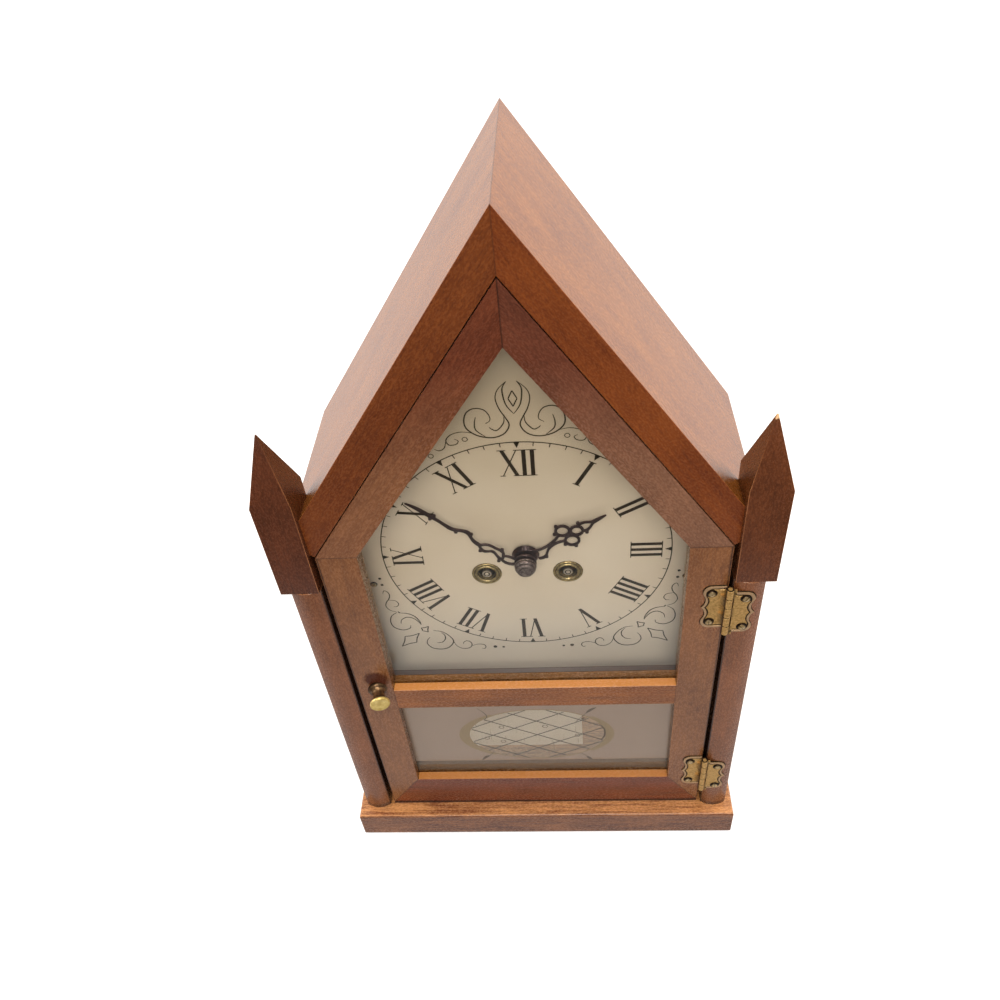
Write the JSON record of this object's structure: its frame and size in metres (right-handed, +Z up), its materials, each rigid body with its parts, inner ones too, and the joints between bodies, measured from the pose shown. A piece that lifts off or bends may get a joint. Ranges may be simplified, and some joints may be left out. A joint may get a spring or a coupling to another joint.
{
  "type": "steeple clock",
  "caption": "Gabled wooden mantel clock with corner columns and pointed finials, a glazed hinged door, a dial with pierced hands and a spring-driven pendulum movement.",
  "frame": {"origin": "centre of the base board's underside", "axes": "+Z up, the door faces -Y, +X to the viewer's right"},
  "size_m": [0.276, 0.1334, 0.4953],
  "materials": {
    "case_wood": "satin stain and lacquer",
    "inside_wood": "raw, darkened",
    "door_wood": "satin stain and lacquer",
    "old_brass": "aged",
    "movement_brass": "satin",
    "steel": "plain",
    "dark_iron": "black japan",
    "blued_steel": "blackened",
    "dial_face": "matt ivory paper on zinc",
    "clear_glass": "clear",
    "painted_glass": "painted on the back",
    "old_paper": "matt"
  },
  "bodies": {
    "case": {"base_board": "case_wood", "side_wall_left": "case_wood", "side_wall_right": "case_wood", "roof_board_left": "case_wood", "roof_board_right": "case_wood", "column_left": "case_wood", "column_right": "case_wood", "finial_left": "case_wood", "finial_right": "case_wood", "back_panel": "inside_wood", "case_screws": "steel", "door_stops": "inside_wood", "dial_cleats": "inside_wood", "dial_plate": "dial_face", "small_brass_screws": "old_brass", "winding_grommets": "old_brass", "paper_label": "old_paper", "case_hinge_leaves": "old_brass", "hinge_pins": "steel", "movement_straps": "steel", "front_plate": "movement_brass", "back_plate": "movement_brass", "plate_pillars": "steel", "suspension_bracket": "steel", "gong_block": "dark_iron", "gong_rods": "steel"},
    "door": {"door_stile_left": "door_wood", "door_stile_right": "door_wood", "door_top_rail_left": "door_wood", "door_top_rail_right": "door_wood", "door_bottom_rail": "door_wood", "door_mullion": "door_wood", "upper_glass": "clear_glass", "tablet_glass": "painted_glass", "glass_beads": "door_wood", "door_knob": "old_brass", "door_hinge_leaves": "old_brass", "door_hinge_screws": "old_brass"},
    "minute_hand_group": {"minute_hand": "blued_steel", "cannon_pinion": "movement_brass", "hand_nut": "blued_steel"},
    "hour_hand_group": {"hour_hand": "blued_steel", "hour_wheel": "movement_brass"},
    "minute_wheel": {"minute_wheel": "movement_brass"},
    "centre_arbor": {"centre_arbor": "movement_brass"},
    "second_wheel": {"second_wheel": "movement_brass"},
    "third_wheel": {"third_wheel": "movement_brass"},
    "escape_wheel": {"escape_wheel": "movement_brass"},
    "time_barrel": {"time_barrel": "movement_brass"},
    "strike_barrel": {"strike_barrel": "movement_brass"},
    "time_winding_arbor": {"time_winding_arbor": "steel"},
    "strike_winding_arbor": {"strike_winding_arbor": "steel"},
    "time_click": {"time_click": "steel"},
    "strike_click": {"strike_click": "steel"},
    "star_wheel": {"star_wheel": "movement_brass"},
    "fly": {"fly": "steel"},
    "pendulum": {"anchor": "steel", "pendulum_rod": "steel", "pendulum_bob": "movement_brass"},
    "hammer": {"hammer": "steel"}
  },
  "joints": [
    {"name": "door_hinge", "type": "hinge", "parent": "case", "child": "door", "pos_m": [0.1134, -0.0574, 0.158], "axis": [0, 0, 1], "range_deg": [0, 135]},
    {"name": "minute_hand_turn", "type": "hinge", "parent": "case", "child": "minute_hand_group", "pos_m": [0, 0.0066, 0.2605], "axis": [0, 1, 0], "continuous": true},
    {"name": "hour_hand_turn", "type": "hinge", "parent": "case", "child": "hour_hand_group", "pos_m": [0, 0.0066, 0.2605], "axis": [0, 1, 0], "continuous": true},
    {"name": "minute_wheel_turn", "type": "hinge", "parent": "case", "child": "minute_wheel", "pos_m": [0, 0.0066, 0.2755], "axis": [0, 1, 0], "continuous": true},
    {"name": "third_wheel_turn", "type": "hinge", "parent": "case", "child": "third_wheel", "pos_m": [-0.004, 0.0066, 0.27959], "axis": [0, 1, 0], "continuous": true},
    {"name": "centre_arbor_turn", "type": "hinge", "parent": "case", "child": "centre_arbor", "pos_m": [0, 0.0066, 0.2605], "axis": [0, 1, 0], "continuous": true},
    {"name": "second_wheel_turn", "type": "hinge", "parent": "case", "child": "second_wheel", "pos_m": [0.01926, 0.0066, 0.26888], "axis": [0, 1, 0], "continuous": true},
    {"name": "time_barrel_turn", "type": "hinge", "parent": "case", "child": "time_barrel", "pos_m": [0.0247, 0.0066, 0.2432], "axis": [0, 1, 0], "continuous": true},
    {"name": "escape_wheel_turn", "type": "hinge", "parent": "case", "child": "escape_wheel", "pos_m": [0, 0.0066, 0.29528], "axis": [0, 1, 0], "continuous": true},
    {"name": "star_wheel_turn", "type": "hinge", "parent": "case", "child": "star_wheel", "pos_m": [-0.01926, 0.0066, 0.26888], "axis": [0, 1, 0], "continuous": true},
    {"name": "strike_barrel_turn", "type": "hinge", "parent": "case", "child": "strike_barrel", "pos_m": [-0.0247, 0.0066, 0.2432], "axis": [0, 1, 0], "continuous": true},
    {"name": "fly_turn", "type": "hinge", "parent": "case", "child": "fly", "pos_m": [-0.02713, 0.0066, 0.28252], "axis": [0, 1, 0], "continuous": true},
    {"name": "time_winding_turn", "type": "hinge", "parent": "case", "child": "time_winding_arbor", "pos_m": [0.0247, 0.0066, 0.2432], "axis": [0, 1, 0], "continuous": true},
    {"name": "strike_winding_turn", "type": "hinge", "parent": "case", "child": "strike_winding_arbor", "pos_m": [-0.0247, 0.0066, 0.2432], "axis": [0, 1, 0], "continuous": true},
    {"name": "time_click_lift", "type": "hinge", "parent": "case", "child": "time_click", "pos_m": [0.03408, 0.0066, 0.23533], "axis": [0, 1, 0], "range_deg": [0, 8], "stiffness_Nm_per_rad": 0.005, "springref_deg": -5.73},
    {"name": "strike_click_lift", "type": "hinge", "parent": "case", "child": "strike_click", "pos_m": [-0.03408, 0.0066, 0.23533], "axis": [0, -1, 0], "range_deg": [0, 8], "stiffness_Nm_per_rad": 0.005, "springref_deg": -5.73},
    {"name": "pendulum_swing", "type": "hinge", "parent": "case", "child": "pendulum", "pos_m": [0, 0.0066, 0.3113], "axis": [0, 1, 0], "range_deg": [-3, 3]},
    {"name": "hammer_swing", "type": "hinge", "parent": "case", "child": "hammer", "pos_m": [-0.03, 0.0066, 0.2165], "axis": [0, 1, 0], "range_deg": [-18, 1.5], "stiffness_Nm_per_rad": 0.1, "springref_deg": 0.92}
  ],
  "couplings": [
    {"joint": "hour_hand_turn", "follows": "minute_hand_turn", "ratio": 0.083333},
    {"joint": "minute_wheel_turn", "follows": "minute_hand_turn", "ratio": -0.33333},
    {"joint": "centre_arbor_turn", "follows": "third_wheel_turn", "ratio": -0.083333},
    {"joint": "second_wheel_turn", "follows": "third_wheel_turn", "ratio": 0.013889},
    {"joint": "time_barrel_turn", "follows": "third_wheel_turn", "ratio": -0.0023148},
    {"joint": "escape_wheel_turn", "follows": "third_wheel_turn", "ratio": -11},
    {"joint": "strike_barrel_turn", "follows": "star_wheel_turn", "ratio": -0.16667},
    {"joint": "fly_turn", "follows": "star_wheel_turn", "ratio": -6}
  ]
}
